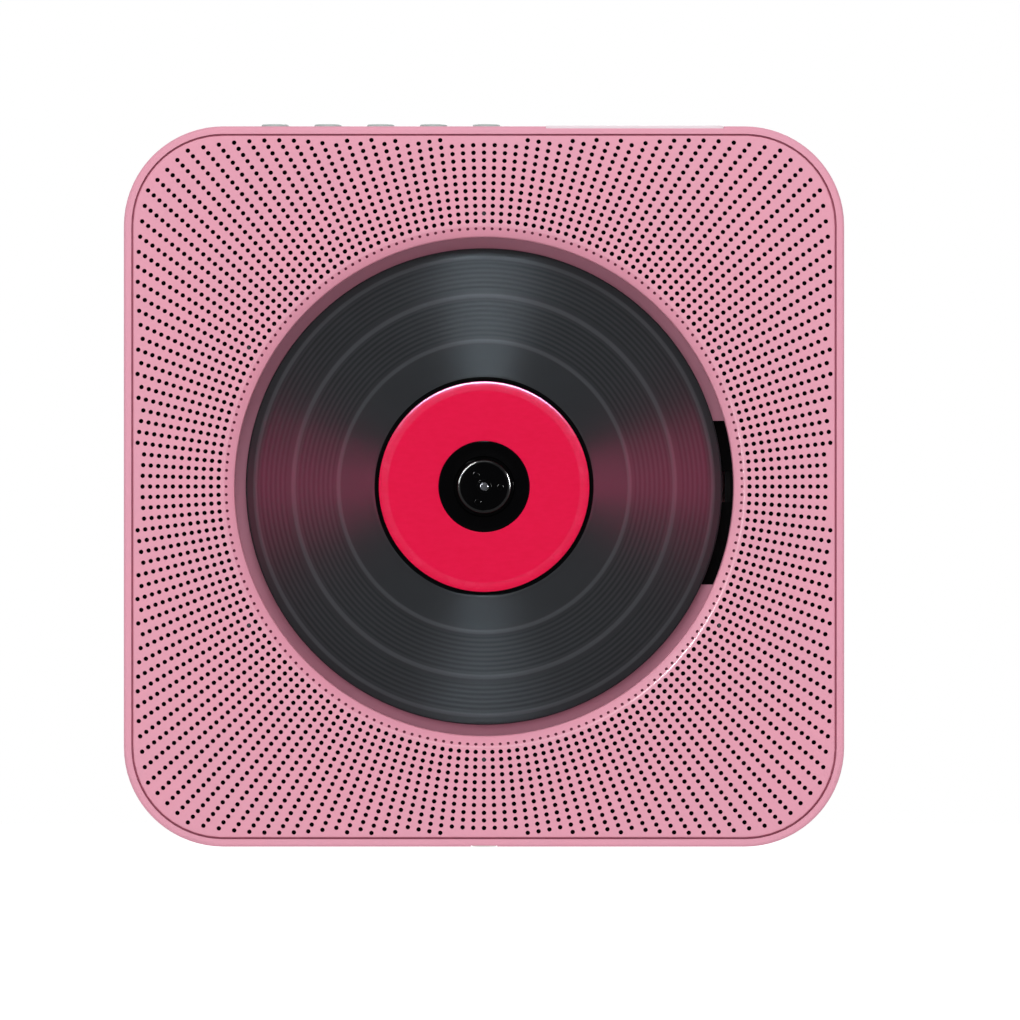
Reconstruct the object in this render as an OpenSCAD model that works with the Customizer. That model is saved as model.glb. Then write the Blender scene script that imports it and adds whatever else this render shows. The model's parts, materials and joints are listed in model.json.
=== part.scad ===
// Wall mounted player for 120 mm discs. A square case hangs on a wall bracket, and its
// perforated front frames an open round well in which the disc turns upright.
// Origin on the wall, in line with the disc's axis. +Z is up and the front faces -Y.
// "Depth" is the distance out from the wall, so a depth d lies at y = -d.

/* [Case] */
// Width and height of the case
body_w = 181; // [180:1:190]
// Corner radius of the case
corner_r = 25; // [23:1:28]
// Depth of the case, from the wall to its front face
body_depth = 41; // [40.5:0.5:46]
// Thickness of the side wall, which shows as the rim round the front
side_wall = 1.9; // [1.7:0.1:2.3]
// Rounding of the rim's front edge
edge_r = 0.9; // [0.5:0.1:1.2]
// Thickness of the back cover
back_wall = 2.2; // [1.8:0.1:2.6]
// Rounding of the back cover's edge
back_r = 2.4; // [2:0.1:3]
// Depth at which the back cover meets the case frame
split_depth = 12; // [11:0.5:13]
// Gap that the pads hold between the case and the wall
pad_h = 1.2; // [1:0.1:1.5]
// Radius of a wall pad
pad_r = 5; // [3:0.5:7]

/* [Front panel] */
// Thickness of the perforated panel
panel_t = 1.6; // [1.4:0.1:2]
// Width of the groove between the panel and the rim
groove = 0.45; // [0.3:0.05:0.7]
// Width of the bevel round the well
bevel_w = 3; // [2:0.2:3.4]
// How far the bevel falls
bevel_drop = 1.3; // [0.8:0.1:1.5]
// Diameter of a perforation
hole_d = 0.85; // [0.6:0.05:1]
// Number of radial rows of perforations
spokes = 200; // [100:20:200]
// Distance between two rings of perforations
ring_pitch = 1.908; // [1.9:0.1:2.5]
// Plain margin between the perforations and the panel's edge
plain_margin = 1.75; // [1.5:0.25:4]
// Thickness of the baffle behind the panel
baffle_t = 1.8; // [1.4:0.1:2.2]

/* [Disc] */
// Diameter of the disc
disc_d = 120; // [119:0.5:121]
// Thickness of the disc
disc_t = 1.2; // [1.1:0.05:1.3]
// Diameter of the disc's centre hole
disc_hole_d = 15; // [14.8:0.1:15.4]

/* [Well] */
// Gap between the disc's edge and the well's wall
well_gap = 2.8; // [2:0.1:3]
// How far the disc's face lies behind the front face
disc_recess = 7; // [6.6:0.1:7.4]
// Gap between the disc and the well's floor
floor_gap = 2.6; // [2.4:0.1:3]
// Thickness of the well's floor
floor_t = 2; // [1.6:0.1:2.2]
// Thickness of the well's wall
well_wall = 1.8; // [1.5:0.1:2]
// Height of the window in the floor above the disc's axis
window_top = 16.6; // [16:0.2:18]
// Depth of the window in the floor below the disc's axis
window_bottom = 24.7; // [24:0.1:25.4]
// Radius of the hole for the turntable
turntable_hole_r = 19; // [17:0.5:20]

/* [Mechanism] */
// Radius of the turntable's seat
seat_r = 14; // [12.5:0.5:15]
// Diameter of the hub that enters the disc's hole
hub_d = 13.7; // [13.4:0.1:14]
// How far the hub stands out of the disc
hub_rise = 2.2; // [1.8:0.1:2.6]
// Radius of the spindle
spindle_r = 1; // [0.8:0.1:1.3]
// Radius of the spindle motor
motor_r = 12; // [10:0.5:12.2]
// Length of the spindle motor
motor_h = 9.8; // [8:0.2:11]
// Thickness of the mechanism deck
deck_t = 2; // [1.6:0.1:2.2]
// Thickness of the cover over the mechanism
cover_t = 1.2; // [1:0.1:1.4]
// Height of the slot that the lens travels in
slot_h = 7.9; // [7.4:0.1:9]
// Distance of the lens from the disc's axis at the inner end
lens_in = 23.5; // [23:0.25:24.5]
// Travel of the pickup
lens_travel = 33; // [30:0.5:33]
// Radius of the lens holder
lens_r = 3.2; // [2.8:0.1:3.3]
// Radius of the main guide rod
main_rod_r = 1.5; // [1.2:0.1:1.8]
// Radius of the side guide rod
side_rod_r = 1; // [0.8:0.1:1.3]
// Radius of the lead screw
screw_r = 1.6; // [1.3:0.1:1.8]

/* [Buttons] */
// Number of buttons along the top
button_count = 5; // [5:1:5]
// Diameter of a button
button_d = 7; // [6:0.25:8]
// Distance between two buttons
button_pitch = 13.34; // [12.5:0.1:13.4]
// Place of the leftmost button
first_button_x = -52.75; // [-54:0.25:-52]
// How far a button stands out of the case
button_rise = 1; // [0.8:0.1:1.6]
// Travel of a button
button_travel = 0.5; // [0.3:0.1:0.7]

/* [Display] */
// Length of the display window
display_w = 44.8; // [42:0.2:46]
// Left end of the display window
display_x = 15.5; // [15:0.25:17]
// How far the display window stands out of the case
display_rise = 0.4; // [0.2:0.05:0.6]
// How far the display window is let into the top wall
display_sink = 0.55; // [0.4:0.05:0.8]

/* [Speakers] */
// Outer diameter of a speaker
speaker_d = 36; // [32:1:38]
// Depth of a speaker behind the baffle
speaker_h = 19; // [17:0.5:20]
// Diameter of a speaker's magnet
magnet_d = 25; // [20:1:26]

/* [Wall bracket] */
// Width of the bracket plate
bracket_w = 100; // [96:2:110]
// Height of the bracket plate
bracket_h = 60; // [56:2:66]
// Thickness of the bracket plate
bracket_t = 1.6; // [1.2:0.1:1.7]
// Distance between the screw holes, sideways
screw_span_x = 80; // [70:2:84]
// Distance between the screw holes, up and down
screw_span_z = 40; // [34:2:44]
// Diameter of a screw hole
screw_hole_d = 4.5; // [4:0.1:5]
// Distance between the two studs
stud_span = 52; // [44:2:56]
// Height of the studs above the disc's axis
stud_z = 8; // [4:1:12]
// Diameter of a stud
stud_d = 4; // [3.6:0.1:4.4]
// Diameter of a stud's head
stud_head_d = 7.6; // [7:0.1:8]
// How far the player is lifted to clear the studs
lift = 9; // [8:0.5:10]

/* [Fits] */
// Gap between pieces that move past each other
slide_gap = 0.3; // [0.2:0.05:0.4]
// Gap round a shaft in its bearing
shaft_gap = 0.05; // [0.03:0.01:0.08]
// Gap round a piece that is fixed in a hole
seat_gap = 0.02; // [0.01:0.01:0.04]

/* [Hidden] */

pink = [0.89, 0.62, 0.69];
black = [0.1, 0.1, 0.11];
steel = [0.74, 0.75, 0.77];
pale = [0.72, 0.78, 0.76];
board_green = [0.1, 0.34, 0.22];

// Depths of the front stack, from the front face inwards
panel_back = body_depth - panel_t;
baffle_back = panel_back - baffle_t;
ledge_t = 1.8;
ledge_w = 2.2;
ledge_back = baffle_back - ledge_t;
disc_front = body_depth - disc_recess;
disc_back = disc_front - disc_t;
floor_front = disc_back - floor_gap;
floor_back = floor_front - floor_t;

// Depths of the mechanism
float_gap = 0.6;
cover_front = floor_back - float_gap;
deck_front = cover_front - cover_t;
deck_back = deck_front - deck_t;
rod_depth = deck_back - 3;

// Outlines
inner_w = body_w - 2 * side_wall;
inner_r = corner_r - side_wall;
panel_w = inner_w - 2 * groove;
panel_r = inner_r - groove;
top_z = body_w / 2;
ceiling_z = top_z - side_wall;

// Well
disc_r = disc_d / 2;
well_r = disc_r + well_gap;
well_outer_r = well_r + well_wall;
bevel_r = well_r + bevel_w;
trim_r = bevel_r + 0.1;
panel_hole_r = trim_r + 0.1;
baffle_hole_r = trim_r + 0.2;
ear_t = 1.8;
ear_r = 3.2;
ear_at = baffle_hole_r + 2.8;

// Perforations: every other ring, and every other row in each, is drilled
first_ring = 35;
last_ring = 60;
ring_step = 2;
spoke_step = 2;
ring_offset = -0.07;

// Screws that hold the case together
boss_x = inner_w / 2 - 8;
boss_z = 36;
boss_r = 3.4;
case_screw_r = 1.5;
case_head_r = 2.8;
case_head_h = 2;
pilot_r = case_screw_r - 0.3;
small_pilot_r = case_screw_r - 0.4;
small_head_r = 2.4;
small_head_h = 1.5;
sink_depth = 6;

// Back cover
plate_front = pad_h + back_wall;
pocket_gap = 2;
pocket_back = bracket_t + 0.6;
pocket_front = pocket_back + back_wall;
tongue_t = side_wall / 2;
tongue_h = 1.8;
pad_x = inner_w / 2 - 18;

// Bracket studs
stud_head_t = 1.4;
stud_neck_front = pocket_front + slide_gap;
stud_front = stud_neck_front + stud_head_t;

// Deck, its dampers and its window
deck_left = -32;
deck_right = 66;
deck_top = 28;
deck_bottom = -41.5;
damper_left = -26;
damper_right = 44;
damper_top = 22.6;
damper_bottom = -36;
damper_r = 4.2;
damper_waist_r = 3;
damper_bore_r = 2;
post_r = damper_bore_r - seat_gap;
damper_lip = 1.1;
post_h = float_gap + cover_t + deck_t + damper_lip;
washer_r = damper_r - 0.4;
washer_t = 1;
deck_head_r = 1.9;
deck_head_h = 1.2;
opening_left = motor_r + 0.8;
sled_tail = 10.4;
sled_nose = 4;
sled_left = lens_in - sled_tail;
sled_right = lens_in + sled_nose;
stop_x = sled_right + lens_travel + slide_gap;
sled_top = 14.6;
sled_bottom = -20;
opening_top = sled_top + 0.7;
opening_bottom = sled_bottom - 0.7;
main_rod_z = -15.5;
side_rod_z = 12.6;
screw_z = -26;
sled_motor_r = 4.5;
sled_motor_l = 16;
sled_motor_x = -14;
cradle_t = 1.6;
journal_r = 0.8;
journal_l = 3.8;
bracket_l = 4.6;
main_block = main_rod_r + 1.5;
side_block = side_rod_r + 1;
screw_block = screw_r + 1.4;
left_bracket_x = opening_left - bracket_l;
rod_end_right = stop_x + bracket_l;
rod_start = left_bracket_x + 1;
rod_stop = rod_end_right - 1;
sled_front = deck_front - 0.3;
sled_back = deck_back - 6;
slot_left = lens_in - lens_r - 3;
slot_right = well_r - 0.6;
cover_left = opening_left + 2;
follower_l = 6;

// Turntable
seat_t = 1.4;
mat_t = 0.5;
mat_w = 2;
mat_back = disc_back - mat_t;
hub_front = disc_front + hub_rise;
hub_base_r = 5;
hub_dome = 0.8;
claw_w = 2.4;
claw_h = 2.2;
claw_back = disc_back + 0.3;
claw_travel = 0.7;
claw_inner = 4.3;
claw_outer = disc_hole_d / 2 - 0.08;
claw_gap = 0.1;
motor_front = deck_back;
motor_back = motor_front - motor_h;
motor_neck_r = 5.5;

// Lens
lens_front = disc_back - 1.4;
lens_back = sled_back + 2.6;
lens_focus = 0.6;

// Boards
board_t = 1.6;
main_board_depth = 8.2;
main_board_w = 128;
main_board_h = 40;
board_top_gap = 11.6;
main_board_z = ceiling_z - board_top_gap - main_board_h / 2;
standoff_r = 3;
standoff_x = main_board_w / 2 - 5;
standoff_z = main_board_h / 2 - 5;
board_front = main_board_depth + board_t;
// each chip: place across and up from the board's middle, width, height and thickness
chips = [[-18, 0, 14, 14, 1.6], [14, 4, 10, 8, 1.8], [36, -6, 8, 12, 1.6]];
capacitor_r = 3.2;
capacitor_h = 7;
capacitor_count = 5;
capacitor_pitch = 22;
capacitor_x = -main_board_w / 2 + 16;
capacitor_z = main_board_h / 2 - 6;
socket_w = 10;
socket_h = 5.2;
socket_d = 5;
socket_count = 4;
socket_pitch = 24;
socket_x = -main_board_w / 2 + 22;
socket_z = -main_board_h / 2 + 5;

// Buttons
button_r = button_d / 2;
button_depth = 24;
button_gap = 0.25;
flange_extra = 1.1;
flange_h = 1.2;
flange_gap = 0.05;
switch_w = 6;
switch_h = 3.5;
plunger_h = 0.4;
plunger_r = 1.7;
stem_h = 3.2;
stem_r = 1.6;
flange_top = ceiling_z - flange_gap;
stem_bottom = flange_top - flange_h - stem_h;
plunger_top = stem_bottom - button_travel - 0.1;
switch_top = plunger_top - plunger_h;
button_board_top = switch_top - switch_h;
button_board_l = (button_count - 1) * button_pitch + 18;
button_board_x = first_button_x - 9;
button_board_d = 14;
rail_t = 2;

// Display
display_d = 13;
display_gap = 0.8;
display_depth = ledge_back - display_gap - display_d;
lens_margin = 3.4;
module_h = 3;

// Speakers
speaker_r = speaker_d / 2;
// a speaker sits midway between the well and the ledge in the case's corner
ledge_reach = sqrt(2) * (inner_w / 2 - inner_r) + inner_r - ledge_w;
speaker_x = (well_outer_r + ledge_reach) / 2 / sqrt(2);
speaker_flange_t = 1.4;
speaker_back = baffle_back - speaker_h;
magnet_r = magnet_d / 2;
magnet_h = 6.6;
plate_t = 1.4;
basket_t = 1;
mouth_r = speaker_r - 2.6;
cone_r = speaker_r - 5.6;
coil_r = 6.5;
cone_h = 5;
cone_t = 0.5;
throat_r = magnet_r - 1;
basket_back = speaker_back + magnet_h;
rim_depth = baffle_back - speaker_flange_t;
roll_r = (mouth_r - cone_r - slide_gap) / 2;

// Pull switch and cord eyelet
cord_depth = 24;
eyelet_r = 3.1;
eyelet_tube_r = 2.3;
eyelet_bore_r = 1.4;
eyelet_rise = 0.4;
notch_depth = 0.3;
pull_travel = 3.5;
pull_w = 12;
pull_h = 13;
pull_bore_r = 1.5;
collar_r = 2.8;
collar_h = 1.8;

// Power socket
power_x = -40;
power_depth = 22;
power_nose_r = 3.9;
power_bore_r = 2.8;
power_pin_r = 1.05;
power_w = 9.4;
power_h = 12;

// ---------- shared shapes ----------

// Gives a front view drawing a thickness, from a given depth outwards.
module layer(depth, thick)
    translate([0, -depth, 0]) rotate([90, 0, 0]) linear_extrude(thick) children();

// Turns a profile, drawn as radius and depth, round the disc's axis.
module turned() rotate([90, 0, 0]) rotate_extrude($fn = 180) children();

// A box from its ranges across, in depth and up.
module block(x, depth, z)
    translate([x[0], -depth[1], z[0]]) cube([x[1] - x[0], depth[1] - depth[0], z[1] - z[0]]);

// A round bar that points out from the wall.
module bar_out(r, depth)
    translate([0, -depth[0], 0]) rotate([90, 0, 0])
        cylinder(r = r, h = depth[1] - depth[0], $fn = 48);

// A round bar along the width.
module bar_across(r, x)
    translate([x[0], 0, 0]) rotate([0, 90, 0]) cylinder(r = r, h = x[1] - x[0], $fn = 48);

// A round bar up and down.
module bar_up(r, z)
    translate([0, 0, z[0]]) cylinder(r = r, h = z[1] - z[0], $fn = 48);

module rounded_square(w, r) {
    square([w - 2 * r, w], center = true);
    square([w, w - 2 * r], center = true);
    for (x = [-1, 1], z = [-1, 1])
        translate([x * (w / 2 - r), z * (w / 2 - r)]) circle(r = r, $fn = 96);
}

module rounded_rect(w, h, r) {
    square([w - 2 * r, h], center = true);
    square([w, h - 2 * r], center = true);
    for (x = [-1, 1], z = [-1, 1])
        translate([x * (w / 2 - r), z * (h / 2 - r)]) circle(r = r, $fn = 32);
}

// Sweeps a profile round the rounded square of the case. The profile is drawn as the
// distance inwards from the case's side and the depth.
module round_the_case() {
    straight = body_w - 2 * corner_r;
    for (turn = [0 : 3])
        rotate([0, turn * 90, 0]) {
            translate([body_w / 2, 0, -straight / 2])
                linear_extrude(straight) rotate(180) children();
            translate([straight / 2, 0, straight / 2]) rotate([90, 0, 0])
                rotate_extrude(angle = 90, $fn = 96)
                    translate([corner_r, 0]) mirror([1, 0]) children();
        }
}

module quarter_disc(r)
    intersection() {
        circle(r = r, $fn = 48);
        translate([-r, 0]) square(r);
    }

// Copies to the four corners of a rectangle.
module corners(x, z)
    for (side = [-1, 1], end = [-1, 1]) translate([side * x, 0, end * z]) children();

module at_button(number)
    translate([first_button_x + (number - 1) * button_pitch, -button_depth, 0]) children();

module at_speaker(side)
    translate([side * speaker_x, 0, -speaker_x]) children();

module at_dampers()
    for (x = [damper_left, damper_right], z = [damper_bottom, damper_top])
        translate([x, 0, z]) children();

// ---------- wall bracket ----------

// Pressed plate with four screw holes and two headed studs that the player hangs on.
module wall_bracket() color(steel) {
    layer(0, bracket_t) difference() {
        rounded_rect(bracket_w, bracket_h, 6);
        for (x = [-1, 1], z = [-1, 1])
            translate([x * screw_span_x / 2, z * screw_span_z / 2])
                circle(d = screw_hole_d, $fn = 32);
    }
    for (side = [-1, 1]) translate([side * stud_span / 2, 0, stud_z]) {
        bar_out(stud_d / 2, [bracket_t / 2, stud_neck_front]);
        bar_out(stud_head_d / 2, [stud_neck_front, stud_front]);
    }
}

// ---------- case ----------

module cover_profile() {
    translate([0, pad_h + back_r]) square([side_wall, split_depth - pad_h - back_r]);
    translate([back_r, pad_h + back_r]) mirror([0, 1]) quarter_disc(back_r);
    translate([back_r, pad_h]) square([corner_r - back_r - 4, back_wall]);
    translate([tongue_t + 0.1, split_depth]) square([tongue_t - 0.1, tongue_h]);
}

// Keyhole for a stud: the narrow slot ends where the stud rests.
module keyhole() {
    circle(d = stud_d + 2 * slide_gap, $fn = 32);
    translate([-stud_d / 2 - slide_gap, -lift]) square([stud_d + 2 * slide_gap, lift]);
    translate([0, -lift]) circle(d = stud_head_d + 2 * slide_gap, $fn = 40);
}

// The pocket leaves room for the bracket while the player is lifted off.
module pocket_outline(grow) {
    pocket_h = bracket_h + lift + 2 * pocket_gap;
    translate([0, -lift / 2])
        rounded_rect(bracket_w + 2 * pocket_gap + 2 * grow, pocket_h + 2 * grow, 6 + grow);
}

module back_cover() color(pink) {
    difference() {
        union() {
            round_the_case() cover_profile();
            layer(pad_h, back_wall) difference() {
                rounded_square(body_w - 2 * back_r - 16, corner_r - back_r - 4);
                pocket_outline(0);
            }
            layer(pocket_back, back_wall) pocket_outline(back_wall);
            corners(boss_x, boss_z) bar_out(boss_r + 0.6, [plate_front - 0.5, split_depth]);
            translate([0, 0, main_board_z]) corners(standoff_x, standoff_z)
                bar_out(standoff_r, [plate_front - 0.5, main_board_depth]);
        }
        layer(pad_h - 1, pocket_back - pad_h + 1) pocket_outline(0);
        for (side = [-1, 1]) translate([side * stud_span / 2, 0, stud_z])
            layer(pocket_back - 1, back_wall + 2) keyhole();
        corners(boss_x, boss_z) {
            bar_out(case_head_r + slide_gap, [pad_h - 1, sink_depth]);
            bar_out(case_screw_r + seat_gap, [pad_h, split_depth + 1]);
        }
        translate([0, 0, main_board_z]) corners(standoff_x, standoff_z)
            bar_out(small_pilot_r, [plate_front + 0.8, main_board_depth + 1]);
    }
}

module frame_profile() {
    difference() {
        translate([0, split_depth]) square([side_wall, body_depth - edge_r - split_depth]);
        translate([tongue_t, split_depth - 1]) square([side_wall, 1 + tongue_h + 0.1]);
    }
    translate([edge_r, body_depth - edge_r]) quarter_disc(edge_r);
    translate([edge_r, body_depth - edge_r]) square([side_wall - edge_r, edge_r]);
    translate([side_wall, ledge_back]) square([ledge_w, ledge_t]);
}

module screw_pillars() {
    corners(boss_x, boss_z) bar_out(boss_r, [split_depth, ledge_back + 0.5]);
    // ribs that tie the pillars to the side walls
    for (turn = [0, 180], end = [-1, 1]) rotate([0, turn, 0])
        block([boss_x + boss_r - 1, inner_w / 2 + 0.5], [split_depth + 3, ledge_back + 0.5],
              [end * boss_z - 1, end * boss_z + 1]);
}

// Two grooved rails under the top wall that hold the ends of the button board.
module board_rails()
    for (x = [button_board_x - rail_t + 0.6, button_board_x + button_board_l - 0.6])
        block([x, x + rail_t], [button_depth - button_board_d / 2, button_depth + button_board_d / 2],
              [button_board_top - board_t - 2, ceiling_z + 0.5]);

module case_frame() color(pink)
    difference() {
        union() {
            round_the_case() frame_profile();
            screw_pillars();
            board_rails();
        }
        corners(boss_x, boss_z)
            bar_out(case_screw_r + seat_gap, [split_depth - 1, split_depth + 12]);
        for (number = [1 : button_count]) at_button(number)
            bar_up(button_r + button_gap, [ceiling_z - 1, top_z + 1]);
        // board groove
        block([button_board_x - seat_gap, button_board_x + button_board_l + seat_gap],
              [button_depth - button_board_d / 2 - 1, button_depth + button_board_d / 2 + 1],
              [button_board_top - board_t - seat_gap, button_board_top + seat_gap]);
        // recess and opening for the display
        block([display_x - seat_gap, display_x + display_w + seat_gap],
              [display_depth - seat_gap, body_depth + 1], [top_z - display_sink, top_z + 1]);
        block([display_x + lens_margin, display_x + display_w - lens_margin],
              [display_depth + lens_margin, display_depth + display_d - lens_margin],
              [ceiling_z - 1, top_z]);
        // hole and notch for the cord
        translate([0, -cord_depth, 0])
            bar_up(eyelet_tube_r + seat_gap, [-top_z - 1, -ceiling_z + 1]);
        block([-eyelet_r - 0.2, eyelet_r + 0.2], [cord_depth - eyelet_r - 0.2, body_depth + 1],
              [-top_z - 1, -top_z + notch_depth]);
        translate([power_x, -power_depth, 0])
            bar_up(power_nose_r + seat_gap, [-top_z - 1, -ceiling_z + 1]);
    }

// ---------- front ----------

// Is a point inside a rounded square of a given half width and corner radius?
function inside(x, z, half, r) =
    let (over_x = max(abs(x) - half + r, 0), over_z = max(abs(z) - half + r, 0))
    abs(x) <= half && abs(z) <= half && over_x * over_x + over_z * over_z <= r * r;

// Perforations in rings round the well, as far as the panel's margin allows.
module perforations()
    for (ring = [first_ring : ring_step : last_ring], spoke = [0 : spoke_step : spokes - 1]) {
        radius = ring * ring_pitch + ring_offset;
        x = radius * cos(spoke * 360 / spokes);
        z = radius * sin(spoke * 360 / spokes);
        if (inside(x, z, panel_w / 2 - plain_margin, panel_r - plain_margin))
            translate([x, z]) circle(d = hole_d, $fn = 16);
    }

module front_grille() color(pink)
    layer(panel_back, panel_t) difference() {
        rounded_square(panel_w, panel_r);
        circle(r = panel_hole_r, $fn = 180);
        perforations();
    }

// Black inner front behind the panel, which carries the well and the speakers.
module baffle() color(black)
    layer(baffle_back, baffle_t) difference() {
        rounded_square(inner_w - 0.4, inner_r - 0.2);
        circle(r = baffle_hole_r, $fn = 180);
        for (side = [-1, 1]) translate([side * speaker_x, -speaker_x])
            circle(r = mouth_r, $fn = 64);
        at_well_screws() circle(r = pilot_r, $fn = 24);
    }

module at_well_screws()
    for (step = [0 : 5])
        rotate(30 + step * 60) translate([ear_at, 0]) children();

module window_outline() {
    translate([opening_left, -window_bottom])
        square([well_r - opening_left, window_bottom + window_top]);
    circle(r = turntable_hole_r, $fn = 96);
}

// Ring round the disc: its bevelled rim fills the hole in the panel and its ears are
// screwed to the back of the baffle.
module disc_well() color(pink) {
    turned() polygon([
        [well_r, floor_front], [well_r, body_depth - bevel_drop], [bevel_r, body_depth],
        [trim_r, body_depth], [trim_r, panel_back], [well_outer_r, panel_back],
        [well_outer_r, floor_front]
    ]);
    layer(baffle_back - ear_t, ear_t) difference() {
        union() {
            at_well_screws() circle(r = ear_r, $fn = 48);
            at_well_screws() translate([-ear_at + well_r + 0.5, -ear_r])
                square([ear_at - well_r - 0.5, 2 * ear_r]);
        }
        at_well_screws() circle(r = case_screw_r, $fn = 24);
    }
}

// Floor that closes the ring's back. Its posts carry the mechanism, which shows through
// the window between the turntable and the ring.
module well_floor() color(pink) {
    layer(floor_back, floor_t) difference() {
        circle(r = well_outer_r, $fn = 180);
        intersection() {
            window_outline();
            circle(r = well_r, $fn = 180);
        }
    }
    at_dampers() bar_out(post_r, [floor_back - post_h, floor_back + 0.5]);
}

// ---------- mechanism ----------

module deck_outline()
    translate([deck_left, deck_bottom])
        square([rod_end_right - deck_left, deck_top - deck_bottom]);

module mechanism_deck() color(black)
    difference() {
        union() {
            layer(deck_back, deck_t) difference() {
                deck_outline();
                circle(r = motor_neck_r + slide_gap, $fn = 48);
                translate([opening_left, opening_bottom])
                    square([stop_x - opening_left, opening_top - opening_bottom]);
            }
            // end brackets for the two guide rods
            for (x = [left_bracket_x, stop_x]) {
                block([x, x + bracket_l], [rod_depth - main_block, deck_back + 0.5],
                      [main_rod_z - main_block, main_rod_z + main_block]);
                block([x, x + bracket_l], [rod_depth - side_block, deck_back + 0.5],
                      [side_rod_z - side_block, side_rod_z + side_block]);
            }
            // bearing at the far end of the lead screw, and the end stop under the slot
            block([stop_x, stop_x + bracket_l], [rod_depth - screw_block, deck_back + 0.5],
                  [screw_z - screw_block, screw_z + screw_block]);
            // cradle for the sled motor
            for (x = [sled_motor_x + 1, sled_motor_x + sled_motor_l - cradle_t - 1])
                block([x, x + cradle_t], [rod_depth - 1, deck_back + 0.5],
                      [screw_z - sled_motor_r - 1.5, screw_z + sled_motor_r + 1.5]);
        }
        translate([0, -rod_depth, main_rod_z])
            bar_across(main_rod_r + seat_gap, [rod_start, rod_stop]);
        translate([0, -rod_depth, side_rod_z])
            bar_across(side_rod_r + seat_gap, [rod_start, rod_stop]);
        translate([0, -rod_depth, screw_z]) {
            bar_across(screw_r + shaft_gap, [stop_x - 1, stop_x + 3]);
            bar_across(sled_motor_r + seat_gap,
                       [sled_motor_x - 1, sled_motor_x + sled_motor_l + 0.5]);
        }
        at_dampers() bar_out(damper_waist_r + seat_gap, [deck_back - 1, deck_front + 1]);
    }

// Plate over the mechanism with the slot that the lens looks through.
module mechanism_cover() color(black)
    layer(deck_front, cover_t) difference() {
        translate([cover_left, -window_bottom - 1])
            square([rod_end_right - cover_left, window_bottom + window_top + 2]);
        translate([slot_left, -slot_h / 2]) square([slot_right - slot_left, slot_h]);
    }

// Rubber grommets on the well's posts, which hold the deck at their waists.
module deck_dampers() color([0.16, 0.16, 0.17])
    at_dampers() difference() {
        union() {
            bar_out(damper_r, [deck_back - damper_lip, deck_back]);
            bar_out(damper_waist_r, [deck_back - 0.1, deck_front + 0.1]);
            bar_out(damper_r, [deck_front, floor_back - 0.1]);
        }
        bar_out(damper_bore_r, [deck_back - damper_lip - 1, floor_back + 1]);
    }

module deck_screws() color(steel)
    at_dampers() {
        post_end = floor_back - post_h;
        bar_out(washer_r, [post_end - washer_t, post_end]);
        bar_out(deck_head_r, [post_end - washer_t - deck_head_h, post_end - washer_t]);
    }

module spindle_motor() color(steel)
    difference() {
        union() {
            bar_out(motor_r, [motor_back, motor_front]);
            bar_out(motor_neck_r, [motor_front - 0.5, deck_front + 0.2]);
            bar_out(4, [motor_back - 0.9, motor_back + 0.5]);
        }
        bar_out(spindle_r + shaft_gap, [motor_back + 0.6, deck_front + 1]);
    }

module spindle_shaft() color([0.85, 0.86, 0.88])
    bar_out(spindle_r, [motor_back + 0.9, hub_front + 0.3]);

module turntable() color([0.13, 0.13, 0.14]) {
    bore = spindle_r + seat_gap;
    hub_r = hub_d / 2;
    difference() {
        turned() {
            translate([bore, deck_front + 1]) square([hub_base_r - bore, mat_back - deck_front - 1]);
            translate([bore, mat_back - seat_t]) square([seat_r - bore, seat_t]);
            translate([bore, mat_back - 0.1])
                square([hub_r - bore, hub_front - hub_dome - mat_back + 0.1]);
            translate([bore, hub_front - hub_dome - 0.1])
                square([hub_r - hub_dome - bore, hub_dome + 0.1]);
            translate([hub_r - hub_dome, hub_front - hub_dome]) circle(r = hub_dome, $fn = 48);
            // seat that carries the disc inside the mat
            translate([hub_r - 0.5, mat_back - 0.1])
                square([seat_r - mat_w - hub_r + 0.3, mat_t + 0.1]);
        }
        for (claw = [0 : 2]) rotate([0, -120 * claw, 0])
            block([claw_inner - claw_travel - claw_gap, hub_d],
                  [claw_back - claw_gap, claw_back + claw_h + claw_gap],
                  [-claw_w / 2 - claw_gap, claw_w / 2 + claw_gap]);
    }
}

// Rubber ring that the disc rests on.
module turntable_mat() color([0.2, 0.2, 0.21])
    turned() translate([seat_r - mat_w, mat_back]) square([mat_w, mat_t]);

// Sprung catch that presses outwards on the wall of the disc's hole.
module chuck_claw(number) color([0.8, 0.81, 0.82])
    rotate([0, -120 * (number - 1), 0]) intersection() {
        block([claw_inner, disc_hole_d], [claw_back, claw_back + claw_h],
              [-claw_w / 2, claw_w / 2]);
        bar_out(claw_outer, [claw_back - 1, claw_back + claw_h + 1]);
    }

module compact_disc() color([0.2, 0.21, 0.22])
    layer(disc_back, disc_t) difference() {
        circle(d = disc_d, $fn = 180);
        circle(d = disc_hole_d, $fn = 96);
    }

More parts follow.
